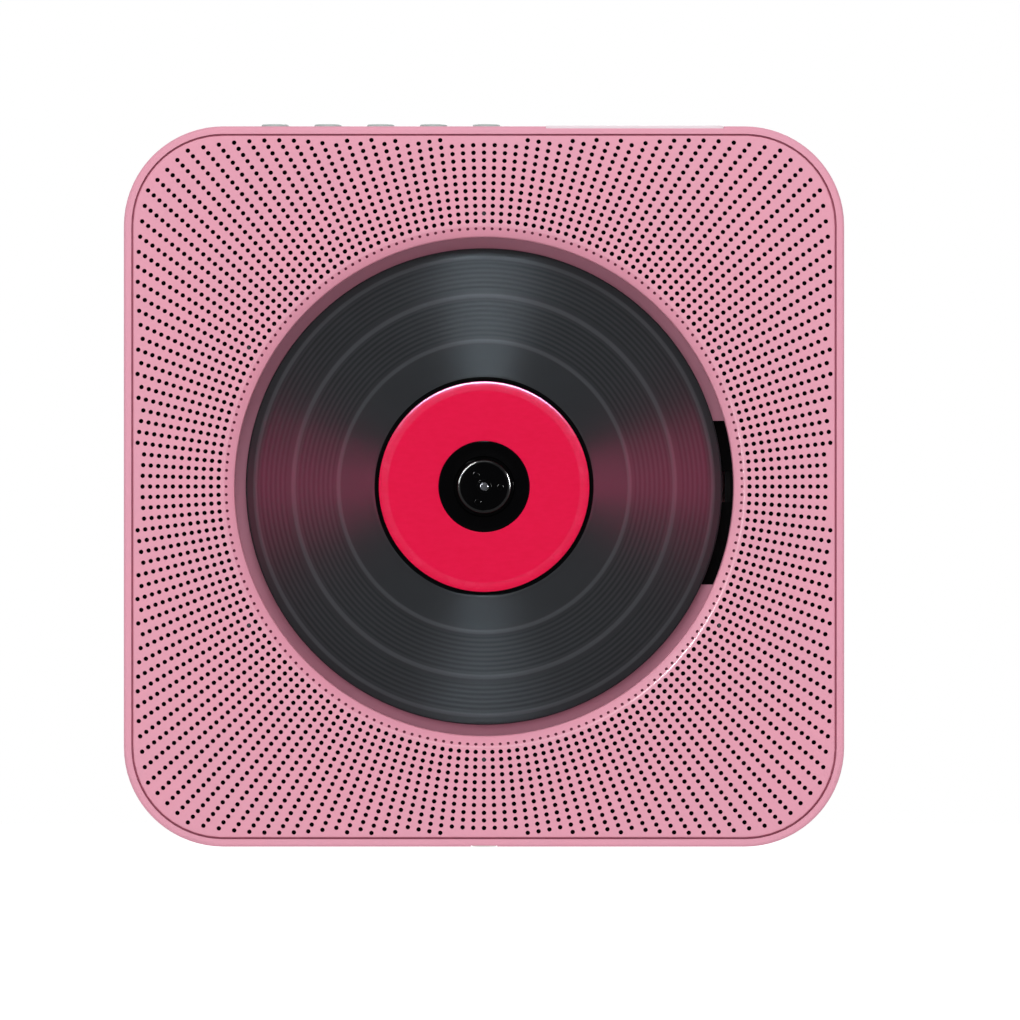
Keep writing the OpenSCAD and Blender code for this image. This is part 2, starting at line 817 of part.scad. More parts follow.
module pickup_sled() color([0.22, 0.22, 0.23])
    difference() {
        union() {
            block([sled_left, sled_right], [sled_back, sled_front - 1.6],
                  [sled_bottom, sled_top]);
            block([lens_in - 8, sled_right], [sled_back, sled_front], [-8, 8]);
            // follower that rides on the lead screw
            block([lens_in - follower_l, lens_in], [rod_depth - 3, rod_depth + 2.6],
                  [screw_z - 3, sled_bottom + 0.5]);
        }
        translate([0, -rod_depth, main_rod_z])
            bar_across(main_rod_r + shaft_gap, [sled_left - 1, sled_right + 1]);
        // the side rod runs in an open fork
        block([sled_left - 1, sled_right + 1],
              [rod_depth - side_rod_r - shaft_gap, rod_depth + side_rod_r + shaft_gap],
              [side_rod_z - side_rod_r - shaft_gap, sled_top + 1]);
        translate([0, -rod_depth, screw_z])
            bar_across(screw_r + shaft_gap, [sled_left - 1, sled_right + 1]);
        translate([lens_in, 0, 0])
            bar_out(lens_r + slide_gap, [lens_back - lens_focus - slide_gap, sled_front + 1]);
    }

module objective_lens() color([0.35, 0.42, 0.6])
    translate([lens_in, 0, 0]) difference() {
        bar_out(lens_r, [lens_back, lens_front]);
        bar_out(lens_r - 1, [lens_front - 0.5, lens_front + 1]);
    }

module main_rod() color(steel)
    translate([0, -rod_depth, main_rod_z]) bar_across(main_rod_r, [rod_start, rod_stop]);

module side_rod() color(steel)
    translate([0, -rod_depth, side_rod_z]) bar_across(side_rod_r, [rod_start, rod_stop]);

module lead_screw() color([0.8, 0.72, 0.45])
    translate([0, -rod_depth, screw_z]) {
        bar_across(screw_r, [sled_motor_x + sled_motor_l + 0.2, stop_x + 2.8]);
        translate([sled_motor_x + sled_motor_l, 0, 0]) bar_across(journal_r, [-journal_l, 1]);
    }

module sled_motor() color(steel)
    translate([0, -rod_depth, screw_z]) difference() {
        union() {
            bar_across(sled_motor_r, [sled_motor_x, sled_motor_x + sled_motor_l]);
            bar_across(1.6, [sled_motor_x - 1, sled_motor_x + 0.5]);
        }
        translate([sled_motor_x + sled_motor_l, 0, 0])
            bar_across(journal_r + shaft_gap, [-journal_l - 0.2, 1]);
    }

// ---------- electronics ----------

module main_board() color(board_green)
    layer(main_board_depth, board_t) translate([0, main_board_z]) difference() {
        square([main_board_w, main_board_h], center = true);
        for (x = [-1, 1], z = [-1, 1])
            translate([x * standoff_x, z * standoff_z]) circle(r = case_screw_r, $fn = 24);
    }

module board_chips() color(black)
    for (chip = chips)
        translate([chip[0], 0, main_board_z + chip[1]])
            block([-chip[2] / 2, chip[2] / 2], [board_front, board_front + chip[4]],
                  [-chip[3] / 2, chip[3] / 2]);

module board_capacitors() color([0.15, 0.18, 0.3])
    for (step = [0 : capacitor_count - 1])
        translate([capacitor_x + step * capacitor_pitch, 0, main_board_z + capacitor_z])
            bar_out(capacitor_r, [board_front, board_front + capacitor_h]);

module board_sockets() color([0.9, 0.89, 0.84])
    for (step = [0 : socket_count - 1])
        translate([socket_x + step * socket_pitch, 0, main_board_z + socket_z])
            block([-socket_w / 2, socket_w / 2], [board_front, board_front + socket_d],
                  [-socket_h / 2, socket_h / 2]);

module board_screws() color(steel)
    translate([0, 0, main_board_z]) corners(standoff_x, standoff_z) {
        bar_out(small_pilot_r - seat_gap, [plate_front + 1.5, board_front]);
        bar_out(small_head_r, [board_front, board_front + small_head_h]);
    }

module button_board() color(board_green)
    block([button_board_x, button_board_x + button_board_l],
          [button_depth - button_board_d / 2, button_depth + button_board_d / 2],
          [button_board_top - board_t, button_board_top]);

module tact_switches() color([0.25, 0.25, 0.26])
    for (number = [1 : button_count]) at_button(number) {
        translate([-switch_w / 2, -switch_w / 2, button_board_top])
            cube([switch_w, switch_w, switch_h]);
        bar_up(plunger_r, [switch_top - 0.1, plunger_top]);
    }

// Domed cap with a flange under the wall and a stem that presses its switch.
module button(number) color(pale) at_button(number) {
    dome_r = (button_r * button_r + button_rise * button_rise) / (2 * button_rise);
    intersection() {
        bar_up(button_r, [flange_top - 0.1, top_z + button_rise + 1]);
        translate([0, 0, top_z + button_rise - dome_r]) sphere(r = dome_r, $fn = 96);
    }
    bar_up(button_r + flange_extra, [flange_top - flange_h, flange_top]);
    bar_up(stem_r, [stem_bottom, flange_top - flange_h + 0.1]);
}

module display_window() color([0.93, 0.93, 0.94])
    block([display_x, display_x + display_w], [display_depth, display_depth + display_d],
          [top_z - display_sink, top_z + display_rise]);

module display_module() color([0.3, 0.33, 0.3]) {
    block([display_x + 1, display_x + display_w - 1],
          [display_depth, display_depth + display_d - 1], [ceiling_z - module_h, ceiling_z]);
    block([display_x + lens_margin + 0.5, display_x + display_w - lens_margin - 0.5],
          [display_depth + lens_margin + 0.5, display_depth + display_d - lens_margin - 0.5],
          [ceiling_z - 0.5, ceiling_z + 0.9]);
}

// ---------- speakers ----------

module speaker_basket(side) color(black) at_speaker(side)
    difference() {
        turned() polygon([
            [coil_r + 1, basket_back], [throat_r + basket_t, basket_back],
            [mouth_r + basket_t, rim_depth], [speaker_r, rim_depth],
            [speaker_r, baffle_back], [mouth_r, baffle_back], [mouth_r, rim_depth],
            [throat_r, basket_back + basket_t], [coil_r + 1, basket_back + basket_t]
        ]);
        for (quarter = [0 : 3]) rotate([0, 45 + quarter * 90, 0])
            block([throat_r - 1, speaker_r], [basket_back + 2.4, rim_depth - 1.6], [-5, 5]);
    }

module speaker_magnet(side) color([0.3, 0.3, 0.31]) at_speaker(side)
    turned() {
        // front plate, ring magnet and the yoke with its pole
        translate([coil_r + 0.9, basket_back - plate_t])
            square([magnet_r - coil_r - 1.9, plate_t]);
        translate([coil_r + 1.6, speaker_back + plate_t])
            square([magnet_r - coil_r - 1.6, magnet_h - 2 * plate_t]);
        translate([0, speaker_back]) square([magnet_r - 1, plate_t]);
        translate([0, speaker_back]) square([coil_r - 0.9, magnet_h]);
    }

// Paper cone with its dust cap and the coil former behind it.
module speaker_cone(side) color([0.12, 0.12, 0.13]) at_speaker(side) {
    throat_depth = rim_depth - cone_h;
    cap_r = 1.45 * coil_r;
    cap_centre = throat_depth - sqrt(cap_r * cap_r - coil_r * coil_r);
    turned() polygon([
        [cone_r, rim_depth], [cone_r, rim_depth - cone_t], [coil_r, throat_depth - cone_t],
        [coil_r, basket_back - plate_t], [coil_r - cone_t, basket_back - plate_t],
        [coil_r - cone_t, throat_depth + cone_t], [coil_r, throat_depth + cone_t]
    ]);
    turned() intersection() {
        translate([0, cap_centre]) difference() {
            circle(r = cap_r + cone_t, $fn = 64);
            circle(r = cap_r, $fn = 64);
        }
        translate([0, throat_depth]) square([coil_r, coil_r]);
    }
}

// Soft half roll between the cone and the basket.
module speaker_surround(side) color([0.08, 0.08, 0.09]) at_speaker(side)
    turned() intersection() {
        translate([mouth_r - roll_r, rim_depth]) difference() {
            circle(r = roll_r, $fn = 40);
            circle(r = roll_r - 0.4, $fn = 40);
        }
        translate([mouth_r - 2 * roll_r, rim_depth]) square([2 * roll_r, roll_r]);
    }

// ---------- fasteners and small parts ----------

module case_screws() color(steel)
    corners(boss_x, boss_z) {
        bar_out(case_head_r, [sink_depth - case_head_h, sink_depth]);
        bar_out(case_screw_r, [sink_depth - 0.1, split_depth + 10]);
    }

module well_screws() color(steel) {
    layer(baffle_back - ear_t - small_head_h, small_head_h)
        at_well_screws() circle(r = small_head_r, $fn = 32);
    layer(baffle_back - ear_t - 0.1, ear_t + baffle_t - 0.3)
        at_well_screws() circle(r = pilot_r - seat_gap, $fn = 24);
}

module wall_pads() color([0.3, 0.3, 0.31])
    corners(pad_x, pad_x) bar_out(pad_r, [0, pad_h]);

module cord_eyelet() color([0.9, 0.91, 0.9])
    translate([0, -cord_depth, 0]) difference() {
        union() {
            bar_up(eyelet_r, [-top_z - eyelet_rise, -top_z + notch_depth]);
            bar_up(eyelet_tube_r, [-top_z, -ceiling_z]);
        }
        bar_up(eyelet_bore_r, [-top_z - 1, -ceiling_z + 1]);
    }

module pull_switch() color([0.24, 0.24, 0.25])
    translate([0, -cord_depth, -ceiling_z]) difference() {
        translate([-pull_w / 2, -pull_w / 2, 0]) cube([pull_w, pull_w, pull_h]);
        bar_up(pull_bore_r + shaft_gap, [-1, pull_h / 2]);
        bar_up(collar_r + slide_gap, [pull_travel + 1, pull_h - 1.6]);
        bar_up(eyelet_tube_r, [-1, 1.2]);
    }

// Sprung plunger that the cord pulls down.
module pull_slider() color([0.85, 0.85, 0.8])
    translate([0, -cord_depth, -ceiling_z]) {
        collar_top = pull_h - 1.6 - slide_gap;
        bar_up(collar_r, [collar_top - collar_h, collar_top]);
        bar_up(pull_bore_r, [pull_travel + 0.3, collar_top - collar_h + 0.1]);
    }

// Barrel socket with its centre pin, in the bottom wall.
module power_socket() color([0.14, 0.14, 0.15])
    translate([power_x, -power_depth, -ceiling_z]) {
        difference() {
            union() {
                translate([-power_w / 2, -power_w / 2, 0]) cube([power_w, power_w, power_h]);
                bar_up(power_nose_r, [-side_wall, 0.5]);
            }
            bar_up(power_bore_r, [-side_wall - 1, power_h - 2]);
        }
        bar_up(power_pin_r, [-side_wall + 0.8, power_h - 1.5]);
    }

// ---------- nodes ----------

wall_bracket();
back_cover();
case_frame();
front_grille();
baffle();
disc_well();
well_floor();
mechanism_deck();
mechanism_cover();
deck_dampers();
deck_screws();
spindle_motor();
spindle_shaft();
turntable();
turntable_mat();
chuck_claw(1);  // chuck_claw_1
chuck_claw(2);  // chuck_claw_2
chuck_claw(3);  // chuck_claw_3
compact_disc();
pickup_sled();
objective_lens();
main_rod();
side_rod();
lead_screw();
sled_motor();
main_board();
board_chips();
board_capacitors();
board_sockets();
board_screws();
button_board();
tact_switches();
button(1);  // button_1
button(2);  // button_2
button(3);  // button_3
button(4);  // button_4
button(5);  // button_5
display_window();
display_module();
speaker_basket(-1);  // speaker_basket_left
speaker_basket(1);  // speaker_basket_right
speaker_magnet(-1);  // speaker_magnet_left
speaker_magnet(1);  // speaker_magnet_right
speaker_cone(-1);  // speaker_cone_left
speaker_cone(1);  // speaker_cone_right
speaker_surround(-1);  // speaker_surround_left
speaker_surround(1);  // speaker_surround_right
case_screws();
well_screws();
wall_pads();
cord_eyelet();
pull_switch();
pull_slider();
power_socket();
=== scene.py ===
import json
import math

import bmesh
import bpy
from mathutils import Matrix, Vector, geometry


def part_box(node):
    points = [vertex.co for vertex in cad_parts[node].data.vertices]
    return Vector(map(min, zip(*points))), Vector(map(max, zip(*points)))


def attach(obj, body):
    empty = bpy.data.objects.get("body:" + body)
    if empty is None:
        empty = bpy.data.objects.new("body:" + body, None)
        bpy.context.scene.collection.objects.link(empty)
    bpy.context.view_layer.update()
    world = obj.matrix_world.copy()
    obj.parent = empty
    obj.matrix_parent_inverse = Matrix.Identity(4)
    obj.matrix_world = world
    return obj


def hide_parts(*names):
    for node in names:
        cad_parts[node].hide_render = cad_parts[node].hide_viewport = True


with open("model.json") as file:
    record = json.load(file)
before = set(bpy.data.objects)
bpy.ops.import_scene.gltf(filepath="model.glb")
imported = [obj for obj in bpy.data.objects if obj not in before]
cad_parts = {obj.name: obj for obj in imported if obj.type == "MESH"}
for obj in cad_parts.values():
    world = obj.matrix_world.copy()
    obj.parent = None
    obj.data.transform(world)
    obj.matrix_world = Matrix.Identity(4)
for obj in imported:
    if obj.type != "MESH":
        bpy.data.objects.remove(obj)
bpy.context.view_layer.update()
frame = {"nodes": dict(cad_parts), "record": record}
nodes = frame["nodes"]
record = frame["record"]
body_of = {n: b for b, ns in record["behaviour"]["bodies"].items() for n in ns}
slot_of = {s["node"]: s["material_slot"] for s in record["subparts"]}
scene = bpy.context.scene
MM = 0.001

# Sizes in mm. A depth is the distance out from the wall, so a depth d lies at y = -d.
FRONT = 41.0
PANEL_BACK = 39.4
PANEL_HALF = 88.15
PANEL_R = 22.65
PANEL_EDGE = 0.35
PANEL_HOLE = 65.96
GROOVE_FLOOR = FRONT - 1.15
GROOVE_STEP = 0.43
SPOKES = 200
RINGS = range(35, 61)
RING_PITCH = 1.908
RING_SHIFT = -0.07
HOLE_R = 0.585
MARGIN = 1.0
WELL_R = 62.8
WELL_OUTER = 64.6
TRIM_R = 65.95
BEVEL_DROP = 1.3
DIMPLE_R = 0.4
DIMPLE_AT = 64.8
EAR_R = 68.9
EAR_HALF = 3.2
FLOOR_FRONT = 30.2
FLOOR_BACK = 28.2
OPENING_R = 19.0
OPENING_TOP = 14.035
WINDOW_LEFT = 12.8
WINDOW_TOP = 16.6
WINDOW_BOTTOM = -24.7
POST_BACK = 23.3
POSTS = [(x, z) for x in (-26, 44) for z in (-36, 22.6)]
DISC_FRONT = 34.0
DISC_BACK = 32.8
LABEL_SEAM = 24.2
HUB_FRONT = 36.2
BUTTON_R = 3.49
FLANGE_R = 4.59
FLANGE_TOP = 88.55
FLANGE_BOTTOM = FLANGE_TOP - 1.19
STEM_R = 1.6
SCREW_R = 2.8
SOFT_EDGE = 0.12


# ---------- materials ----------


def srgb(r, g, b):
    def linear(c):
        c /= 255
        return c / 12.92 if c <= 0.04045 else ((c + 0.055) / 1.055) ** 2.4

    return (linear(r), linear(g), linear(b), 1.0)


def scaled(colour, factors):
    return tuple(min(1, c * k) for c, k in zip(colour, factors)) + (1,)


class Shader:
    """A Principled material whose colour, roughness and bump come from nodes."""

    def __init__(self, name, **values):
        self.m = bpy.data.materials.new(name)
        self.m.use_nodes = True
        self.tree = self.m.node_tree
        self.bsdf = self.tree.nodes["Principled BSDF"]
        for key, value in values.items():
            self.bsdf.inputs[key.replace("_", " ")].default_value = value
        self.place = self.node("ShaderNodeTexCoord").outputs["Object"]

    def node(self, kind, **props):
        n = self.tree.nodes.new(kind)
        for key, value in props.items():
            setattr(n, key, value)
        return n

    def put(self, socket, value):
        if hasattr(value, "is_linked"):
            self.tree.links.new(value, socket)
        else:
            socket.default_value = value

    def math(self, operation, a, b=0.0, clamp=False):
        n = self.node("ShaderNodeMath", operation=operation, use_clamp=clamp)
        self.put(n.inputs[0], a)
        self.put(n.inputs[1], b)
        return n.outputs[0]

    def mix(self, share, a, b):
        n = self.node("ShaderNodeMix", data_type="RGBA")
        self.put(n.inputs[0], share)
        self.put(n.inputs[6], a)
        self.put(n.inputs[7], b)
        return n.outputs[2]

    def noise(self, scale, detail=2.0, stretch=None):
        n = self.node("ShaderNodeTexNoise")
        n.inputs["Scale"].default_value = scale
        n.inputs["Detail"].default_value = detail
        where = self.place
        if stretch:
            mapping = self.node("ShaderNodeMapping")
            mapping.inputs["Scale"].default_value = stretch
            self.put(mapping.inputs["Vector"], where)
            where = mapping.outputs[0]
        self.put(n.inputs["Vector"], where)
        return n.outputs[0]

    def spread(self, value, low, high, start=0.3, end=0.7):
        n = self.node("ShaderNodeMapRange")
        self.put(n.inputs["Value"], value)
        for key, number in zip(("From Min", "From Max", "To Min", "To Max"),
                               (start, end, low, high)):
            n.inputs[key].default_value = number
        return n.outputs[0]

    def colour(self, value):
        self.put(self.bsdf.inputs["Base Color"], value)

    def roughness(self, value):
        self.put(self.bsdf.inputs["Roughness"], value)

    def bump(self, height, strength, distance):
        n = self.node("ShaderNodeBump")
        n.inputs["Strength"].default_value = strength
        n.inputs["Distance"].default_value = distance
        self.put(n.inputs["Height"], height)
        self.put(self.bsdf.inputs["Normal"], n.outputs[0])

    def radius(self):
        """Distance from the disc's axis, in mm."""
        flat = self.node("ShaderNodeVectorMath", operation="MULTIPLY")
        self.put(flat.inputs[0], self.place)
        flat.inputs[1].default_value = (1000, 0, 1000)
        length = self.node("ShaderNodeVectorMath", operation="LENGTH")
        self.put(length.inputs[0], flat.outputs[0])
        return length.outputs["Value"]

    def band(self, value, low, high, soft):
        """1 between low and high, falling off softly on each side."""
        rise = self.node("ShaderNodeMapRange", interpolation_type="SMOOTHSTEP")
        fall = self.node("ShaderNodeMapRange", interpolation_type="SMOOTHSTEP")
        for n, start, end in ((rise, low - soft, low), (fall, high + soft, high)):
            self.put(n.inputs["Value"], value)
            n.inputs["From Min"].default_value = start
            n.inputs["From Max"].default_value = end
        return self.math("MULTIPLY", rise.outputs[0], fall.outputs[0])


def moulded(name, colour, rough=0.5, level=0.3, tone=0.04, grain=0.25, scale=2600):
    """Moulded plastic: faint mottling, uneven gloss and a fine spark-eroded grain."""
    s = Shader(name, Specular_IOR_Level=level)
    base = srgb(*colour)
    dark = scaled(base, [1 - tone] * 3)
    pale = scaled(base, [1 + tone] * 3)
    s.colour(s.mix(s.spread(s.noise(90, 4), 0, 1), dark, pale))
    s.roughness(s.spread(s.noise(240, 3), rough - 0.05, rough + 0.06))
    s.bump(s.noise(scale, 3), grain, 0.00006)
    return s.m


def metal(name, colour, rough=0.25, stretch=None, tone=0.06, scale=900):
    """Metal with fine streaks, which are drawn out along one axis where it is brushed."""
    s = Shader(name, Metallic=1.0)
    base = srgb(*colour)
    dark = scaled(base, [1 - tone] * 3)
    streaks = s.noise(scale, 3, stretch)
    s.colour(s.mix(s.spread(streaks, 0, 1), dark, base))
    s.roughness(s.spread(s.noise(500, 3, stretch), rough - 0.06, rough + 0.08))
    s.bump(streaks, 0.12, 0.00003)
    return s.m


def pink_shader(name, colour, level=0.22, rough=0.5):
    """Matt pink plastic: a fine grain, a faint cloudiness and soft wear on the gloss."""
    s = Shader(name, Specular_IOR_Level=level)
    base = srgb(*colour)
    warm = scaled(base, (1.015, 0.993, 0.995))
    cool = scaled(base, (0.987, 1.0, 1.003))
    cloud = s.spread(s.noise(55, 5), 0, 1, 0.35, 0.65)
    fleck = s.spread(s.noise(1400, 2), -0.35, 0.35, 0.25, 0.75)
    s.colour(s.mix(s.math("ADD", cloud, fleck, clamp=True), cool, warm))
    s.roughness(s.spread(s.noise(160, 4), rough, rough + 0.12))
    s.bump(s.noise(3200, 2), 0.22, 0.00005)
    return s.m


def record_shader():
    """Charcoal face with fine grooves, brighter lands between them and a turned sheen."""
    s = Shader("record_face", Specular_IOR_Level=0.16, Anisotropic=1.0,
               Anisotropic_Rotation=0.25)
    r = s.radius()
    fine = s.math("SINE", s.math("MULTIPLY", r, 2 * math.pi / 1.2))
    zone = s.math("MAXIMUM", s.band(r, 38.2, 46.8, 0.6), s.band(r, 50.0, 56.4, 0.6))
    lands = s.math("MAXIMUM", s.band(r, 36.4, 36.9, 0.5), s.band(r, 47.7, 48.3, 0.5))
    lands = s.math("MAXIMUM", lands, s.band(r, 57.4, 57.9, 0.45))
    base = s.mix(s.spread(s.noise(70, 3), 0, 1), srgb(16, 20, 23), srgb(20, 24, 27))
    grooved = s.math("MULTIPLY", s.math("MULTIPLY", fine, zone), 0.5)
    shade = s.math("ADD", s.math("MULTIPLY", lands, 0.55), s.math("MULTIPLY", grooved, 0.3))
    s.colour(s.mix(s.math("ADD", shade, 0.2, clamp=True), base, srgb(62, 64, 68)))
    micro = s.math("SINE", s.math("MULTIPLY", r, 2 * math.pi / 0.16))
    height = s.math("ADD", grooved, s.math("MULTIPLY", micro, 0.15))
    height = s.math("SUBTRACT", height, s.math("MULTIPLY", r, 5.5))
    s.roughness(s.spread(lands, 0.43, 0.36, 0, 1))
    s.bump(height, 0.35, 0.00008)
    tangent = s.node("ShaderNodeTangent", direction_type="RADIAL", axis="Y")
    s.put(s.bsdf.inputs["Tangent"], tangent.outputs[0])
    return s.m


def label_shader(name, rough):
    """Printed label: plain red with a faint fibre and a soft gloss."""
    s = Shader(name, Specular_IOR_Level=0.08)
    fibre = s.noise(420, 6, (1, 1, 3))
    s.colour(s.mix(s.spread(fibre, 0, 1), srgb(222, 11, 63), srgb(226, 15, 68)))
    s.roughness(s.spread(s.noise(300, 3), rough, rough + 0.07))
    s.bump(fibre, 0.05, 0.00003)
    return s.m


def board_shader():
    """Circuit board: solder mask with copper tracks showing as lighter lines."""
    s = Shader("board_mask", Specular_IOR_Level=0.5)
    brick = s.node("ShaderNodeTexBrick")
    brick.inputs["Scale"].default_value = 130
    brick.inputs["Mortar Size"].default_value = 0.03
    s.put(brick.inputs["Vector"], s.place)
    tracks = s.math("GREATER_THAN", s.noise(170, 0), 0.52)
    lines = s.math("MULTIPLY", s.math("SUBTRACT", 1.0, brick.outputs["Fac"]), tracks)
    s.colour(s.mix(lines, srgb(18, 84, 56), srgb(38, 120, 80)))
    s.roughness(s.spread(s.noise(300, 2), 0.28, 0.4))
    s.bump(lines, 0.3, 0.00005)
    return s.m


def glass_shader():
    """Coated lens: a dark violet reflex over smooth glass."""
    s = Shader("lens_glass", Roughness=0.05, Specular_IOR_Level=0.6, Coat_Weight=0.6,
               Coat_Roughness=0.03)
    s.colour(s.mix(s.spread(s.noise(900, 1), 0, 1), srgb(26, 34, 66), srgb(44, 40, 92)))
    s.bump(s.noise(300, 1), 0.05, 0.00002)
    return s.m


PINK = pink_shader("pink_moulding", (229, 160, 179))
RIM_PINK = pink_shader("pink_frame", (228, 160, 179))
# a slightly darker copy of the panel's pink: painted shade on the bevel that slopes into the
# well, and on its wall
SHADED_WELL_PINK = pink_shader("pink_well_painted_shade", (222, 150, 170), 0.12)
# the well's floor is the same pink, painted darker: painted shade deep in the well under the disc
SHADED_FLOOR_PINK = pink_shader("pink_floor_painted_shade", (186, 131, 149))
CREST_PINK = pink_shader("pink_crest", (228, 160, 179), 0.35, 0.2)
# darker pink for the groove round the panel: painted shade in the narrow groove
SHADED_GROOVE_PINK = pink_shader("pink_groove_painted_shade", (190, 112, 134))
# dark rose for the blind dimples' walls and floors: painted shade in the holes
PAINTED_DIMPLE_SHADE = moulded("dimple_shade", (120, 52, 74), 0.6, 0.1)
BLACK = moulded("black_moulding", (14, 14, 15), 0.45, 0.08)
SOFT_BLACK = moulded("black_matt", (9, 9, 10), 0.7, 0.05)
DARK = moulded("dark_moulding", (2, 2, 3), 0.14, 0.016, grain=0.03)
SLOT_DARK = moulded("slot_plastic", (34, 37, 37), 0.5, 0.15)
STEEL = metal("pressed_steel", (188, 190, 195), 0.34, (1, 1, 6))
BRIGHT = metal("ground_steel", (214, 216, 220), 0.16, (8, 1, 1))
HUB_EDGE = moulded("hub_edge", (3, 3, 4), 0.17, 0.12, grain=0.02)
BLACKENED = metal("blackened_steel", (62, 63, 67), 0.2)
PLATED = metal("zinc_plated_steel", (184, 187, 194), 0.34, (1, 1, 14), 0.2, 240)
BRASS = metal("turned_brass", (206, 172, 104), 0.24)
MAGNET = metal("magnet_grey", (96, 97, 100), 0.42)
RUBBER = moulded("rubber_grey", (34, 34, 36), 0.75, 0.15, grain=0.4, scale=1500)
PALE = moulded("pale_button", (178, 193, 189), 0.36, 0.4, tone=0.02, grain=0.1)
IVORY = moulded("ivory_plastic", (236, 236, 228), 0.4, 0.4, tone=0.02, grain=0.1)
WINDOW = moulded("window_strip", (240, 241, 243), 0.2, 0.45, tone=0.01, grain=0.05)
CONE = moulded("paper_cone", (40, 38, 38), 0.85, 0.15, tone=0.15, grain=0.6, scale=700)
CHIP = moulded("chip_epoxy", (24, 24, 26), 0.5, 0.3, grain=0.3, scale=1800)
SLEEVE = moulded("capacitor_sleeve", (30, 44, 84), 0.35, 0.45, grain=0.05)
SOCKET = moulded("socket_nylon", (226, 222, 208), 0.45, 0.4, tone=0.03)
BOARD = board_shader()
RECORD = record_shader()
LABEL = label_shader("label_paper", 0.2)
LABEL_RIM = label_shader("label_rim", 0.22)
GLASS = glass_shader()

SLOT_MATERIAL = {
    "pink_case": RIM_PINK, "black_plastic": BLACK, "dark_grey_plastic": DARK,
    "steel": STEEL, "bright_steel": BRIGHT, "brass": BRASS, "rubber": RUBBER,
    "disc": RECORD, "lens": GLASS, "board": BOARD, "chip": CHIP, "capacitor": SLEEVE,
    "socket": SOCKET, "pale_button": PALE, "window": WINDOW, "magnet": MAGNET,
    "cone": CONE, "ivory": IVORY,
}
NODE_MATERIAL = {
    "wall_bracket": PLATED, "baffle": SOFT_BLACK, "mechanism_cover": SOFT_BLACK,
    "pickup_sled": SLOT_DARK, "well_screws": BLACKENED, "spindle_shaft": BLACKENED,
    "chuck_claw_1": DARK, "chuck_claw_2": DARK, "chuck_claw_3": DARK,
}


# ---------- shapes ----------


def keep(bm, name, materials, body, replaced=(), angle=32):
    """Turns a bmesh into a piece of the object that rides on a body."""
    bmesh.ops.recalc_face_normals(bm, faces=bm.faces)
    mesh = bpy.data.meshes.new(name)
    bm.to_mesh(mesh)
    bm.free()
    for m in materials:
        mesh.materials.append(m)
    mesh.shade_smooth()
    mesh.set_sharp_from_angle(angle=math.radians(angle))
    obj = bpy.data.objects.new(name, mesh)
    scene.collection.objects.link(obj)
    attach(obj, body)
    if replaced:
        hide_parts(*replaced)
    return obj


def rounded(points, steps=4):
    """A closed outline whose corners (x, y, radius) are rounded."""
    out = []
    n = len(points)
    for i, p in enumerate(points):
        r = p[2] if len(p) > 2 else 0
        here = Vector(p[:2])
        if not r:
            out.append(here)
            continue
        a = (Vector(points[i - 1][:2]) - here).normalized()
        b = (Vector(points[(i + 1) % n][:2]) - here).normalized()
        half = a.angle(b) / 2
        reach = r / math.tan(half)
        middle = here + (a + b).normalized() * (r / math.sin(half))
        start = here + a * reach - middle
        end = here + b * reach - middle
        turn = start.angle_signed(end)
        for k in range(steps + 1):
            out.append(middle + Matrix.Rotation(-turn * k / steps, 2) @ start)
    return out


def revolve(bm, outline, segments, slots=None):
    """Turns a closed outline (radius, depth) in mm round the disc's axis."""
    rings = []
    for r, d in outline:
        if r < 1e-4:
            rings.append([bm.verts.new((0, -d * MM, 0))])
        else:
            rings.append(row_of(bm, circle(0, 0, r, segments), d))
    for i, a in enumerate(rings):
        b = rings[(i + 1) % len(rings)]
        if len(a) == 1 and len(b) == 1:
            continue
        for k in range(segments):
            n = (k + 1) % segments
            if len(a) == 1:
                face = bm.faces.new((a[0], b[k], b[n]))
            elif len(b) == 1:
                face = bm.faces.new((a[k], b[0], a[n]))
            else:
                face = bm.faces.new((a[k], b[k], b[n], a[n]))
            if slots:
                face.material_index = slots[i]


def join(bm, part, x=0.0, z=0.0):
    """Puts a loose part at its place and adds it to a piece."""
    bmesh.ops.translate(part, vec=(x * MM, 0, z * MM), verts=part.verts)
    mesh = bpy.data.meshes.new("part")
    part.to_mesh(mesh)
    part.free()
    bm.from_mesh(mesh)
    bpy.data.meshes.remove(mesh)


def triangles(loops):
    """Triangles inside the first loop and outside the others."""
    points, faces = [], []
    for loop in loops:
        faces.append(list(range(len(points), len(points) + len(loop))))
        points += [Vector(p) for p in loop]
    verts, _, faces, _, _, _ = geometry.delaunay_2d_cdt(points, [], faces, 2, 1e-7)
    return verts, faces


def circle(x, z, r, count, start=0.0):
    return [(x + r * math.cos(2 * math.pi * k / count + start),
             z + r * math.sin(2 * math.pi * k / count + start)) for k in range(count)]


def row_of(bm, points, depth):
    """New vertices at points (x, z) in mm, all at one depth."""
    return [bm.verts.new((x * MM, -depth * MM, z * MM)) for x, z in points]


def wall(bm, a, b, closed=True):
    """Faces between two rows of vertices."""
    n = len(a)
    return [bm.faces.new((a[k], a[(k + 1) % n], b[(k + 1) % n], b[k]))
            for k in range(n if closed else n - 1)]


def flat(bm, points, faces, depth, flip=False):
    """Triangles at one depth."""
    vs = row_of(bm, points, depth)
    for f in faces:
        bm.faces.new([vs[i] for i in (reversed(f) if flip else f)])


def plate(bm, loops, front, back):
    """A flat plate with holes between two depths. The first loop is its outline."""
    points, faces = triangles(loops)
    flat(bm, points, faces, front)
    flat(bm, points, faces, back, flip=True)
    for loop in loops:
        wall(bm, row_of(bm, loop, front), row_of(bm, loop, back))
    bmesh.ops.remove_doubles(bm, verts=bm.verts, dist=2e-7)


